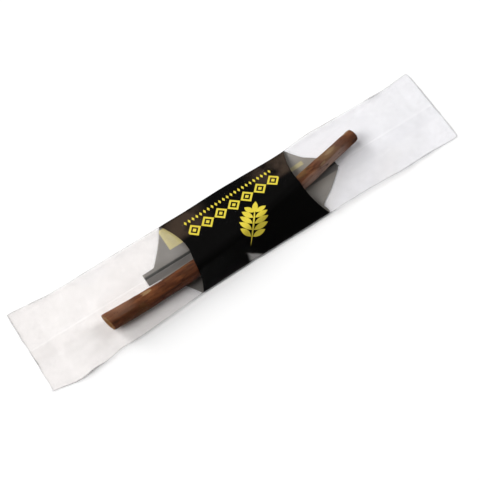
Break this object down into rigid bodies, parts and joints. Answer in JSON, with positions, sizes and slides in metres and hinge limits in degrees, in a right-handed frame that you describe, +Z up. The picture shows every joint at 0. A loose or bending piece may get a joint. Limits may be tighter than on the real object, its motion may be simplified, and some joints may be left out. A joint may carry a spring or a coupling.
{
  "type": "licorice root stick in a film packet",
  "caption": "Bent, tapered licorice root stick sealed in a flat clear film flow-wrap with a dark printed band, end seals and a folded back fin.",
  "frame": {"origin": "under the middle of the packet's box, on the surface that it lies on", "axes": "+X along the packet towards the root's square-cut thin end, +Y across it, away from the root's thick end, +Z up, out of the printed front"},
  "size_m": [0.22, 0.0432, 0.0105],
  "materials": {
    "bark": "matte",
    "clear_film": "gloss",
    "black_ink": "gloss"
  },
  "bodies": {
    "root": {"licorice_root": "bark", "wrapper_film": "clear_film", "printed_band": "black_ink"}
  },
  "joints": []
}
